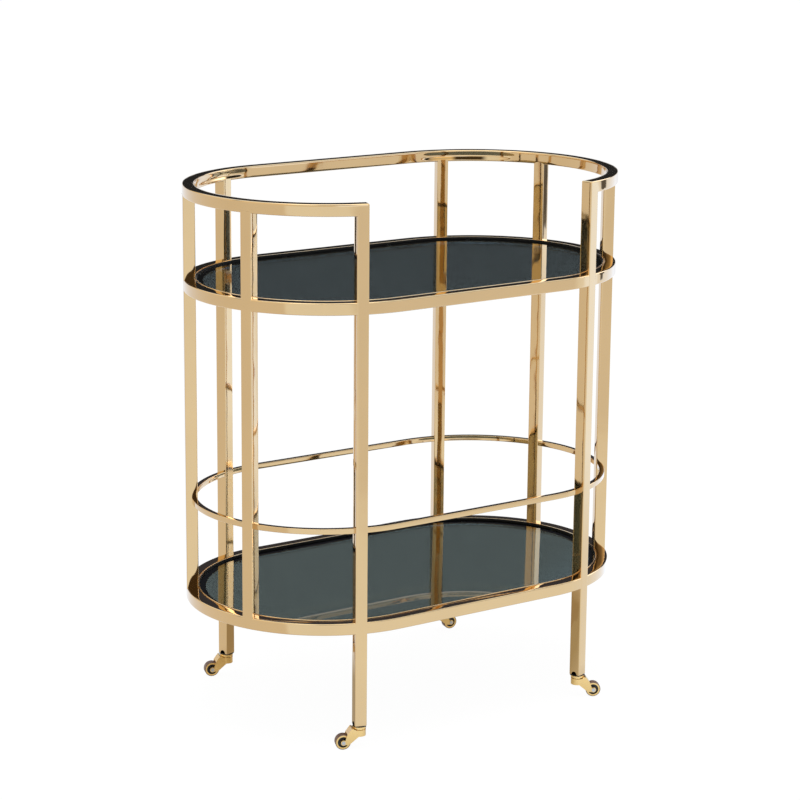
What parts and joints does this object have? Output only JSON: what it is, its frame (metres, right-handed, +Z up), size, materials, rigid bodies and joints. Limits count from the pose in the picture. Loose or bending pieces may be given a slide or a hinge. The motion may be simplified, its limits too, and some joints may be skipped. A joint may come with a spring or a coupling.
{
  "type": "bar cart",
  "caption": "Bar cart with an oval gold tube frame, tinted glass shelves, a low gallery round the lower shelf, a top rail open at the front, and swivel casters",
  "frame": {"origin": "on the floor, under the middle of the cart's outline", "axes": "+Z up; +X along the cart's length, to the right seen from the front; -Y to the front, where the top rail is open"},
  "size_m": [0.7966, 0.4786, 0.915],
  "materials": {
    "frame_gold": "polished gold plating on steel tube",
    "gallery_gold": "polished gold plating on steel bar",
    "caster_gold": "bright gold plating",
    "bright_steel": "bright rivet steel",
    "tinted_glass": "smoke tinted, polished",
    "clear_pad": "clear soft plastic",
    "black_plastic": "moulded",
    "tread_rubber": "brown tread"
  },
  "bodies": {
    "frame": {"caster_collar_front_left": "caster_gold", "caster_collar_front_right": "caster_gold", "caster_collar_rear_left": "caster_gold", "caster_collar_rear_right": "caster_gold", "caster_stem_front_left": "bright_steel", "caster_stem_front_right": "bright_steel", "caster_stem_rear_left": "bright_steel", "caster_stem_rear_right": "bright_steel", "front_left_leg": "frame_gold", "front_right_leg": "frame_gold", "gallery_front": "gallery_gold", "gallery_left": "gallery_gold", "gallery_left_front": "gallery_gold", "gallery_left_rear": "gallery_gold", "gallery_rear": "gallery_gold", "gallery_right": "gallery_gold", "gallery_right_front": "gallery_gold", "gallery_right_rear": "gallery_gold", "glass_pads": "clear_pad", "left_front_post": "frame_gold", "left_rear_post": "frame_gold", "leg_plugs": "black_plastic", "lower_glass": "tinted_glass", "lower_glass_seat": "frame_gold", "lower_shelf_front": "frame_gold", "lower_shelf_left": "frame_gold", "lower_shelf_rear": "frame_gold", "lower_shelf_right": "frame_gold", "rear_left_leg": "frame_gold", "rear_right_leg": "frame_gold", "right_front_post": "frame_gold", "right_rear_post": "frame_gold", "top_rail": "frame_gold", "upper_glass": "tinted_glass", "upper_glass_seat": "frame_gold", "upper_shelf_front": "frame_gold", "upper_shelf_left": "frame_gold", "upper_shelf_left_front": "frame_gold", "upper_shelf_left_rear": "frame_gold", "upper_shelf_rear": "frame_gold", "upper_shelf_right": "frame_gold", "upper_shelf_right_front": "frame_gold", "upper_shelf_right_rear": "frame_gold"},
    "caster_front_left": {"caster_fork_front_left": "caster_gold", "caster_axle_front_left": "bright_steel"},
    "wheel_front_left": {"caster_wheel_front_left": "caster_gold", "caster_tread_front_left": "tread_rubber"},
    "caster_front_right": {"caster_fork_front_right": "caster_gold", "caster_axle_front_right": "bright_steel"},
    "wheel_front_right": {"caster_wheel_front_right": "caster_gold", "caster_tread_front_right": "tread_rubber"},
    "caster_rear_left": {"caster_fork_rear_left": "caster_gold", "caster_axle_rear_left": "bright_steel"},
    "wheel_rear_left": {"caster_wheel_rear_left": "caster_gold", "caster_tread_rear_left": "tread_rubber"},
    "caster_rear_right": {"caster_fork_rear_right": "caster_gold", "caster_axle_rear_right": "bright_steel"},
    "wheel_rear_right": {"caster_wheel_rear_right": "caster_gold", "caster_tread_rear_right": "tread_rubber"}
  },
  "joints": [
    {"name": "swivel_front_left", "type": "hinge", "parent": "frame", "child": "caster_front_left", "pos_m": [-0.22964, -0.21637, 0.026], "axis": [0, 0, 1], "continuous": true},
    {"name": "roll_front_left", "type": "hinge", "parent": "caster_front_left", "child": "wheel_front_left", "pos_m": [-0.25541, -0.20543, 0.013], "axis": [-0.3907, -0.9205, 0], "continuous": true},
    {"name": "swivel_front_right", "type": "hinge", "parent": "frame", "child": "caster_front_right", "pos_m": [0.22964, -0.21637, 0.026], "axis": [0, 0, 1], "continuous": true},
    {"name": "roll_front_right", "type": "hinge", "parent": "caster_front_right", "child": "wheel_front_right", "pos_m": [0.25413, -0.22995, 0.013], "axis": [0.4848, 0.8746, 0], "continuous": true},
    {"name": "swivel_rear_left", "type": "hinge", "parent": "frame", "child": "caster_rear_left", "pos_m": [-0.22964, 0.21637, 0.026], "axis": [0, 0, 1], "continuous": true},
    {"name": "roll_rear_left", "type": "hinge", "parent": "caster_rear_left", "child": "wheel_rear_left", "pos_m": [-0.25627, 0.22503, 0.013], "axis": [-0.309, -0.9511, 0], "continuous": true},
    {"name": "swivel_rear_right", "type": "hinge", "parent": "frame", "child": "caster_rear_right", "pos_m": [0.22964, 0.21637, 0.026], "axis": [0, 0, 1], "continuous": true},
    {"name": "roll_rear_right", "type": "hinge", "parent": "caster_rear_right", "child": "wheel_rear_right", "pos_m": [0.25721, 0.21151, 0.013], "axis": [0.1736, 0.9848, 0], "continuous": true}
  ]
}
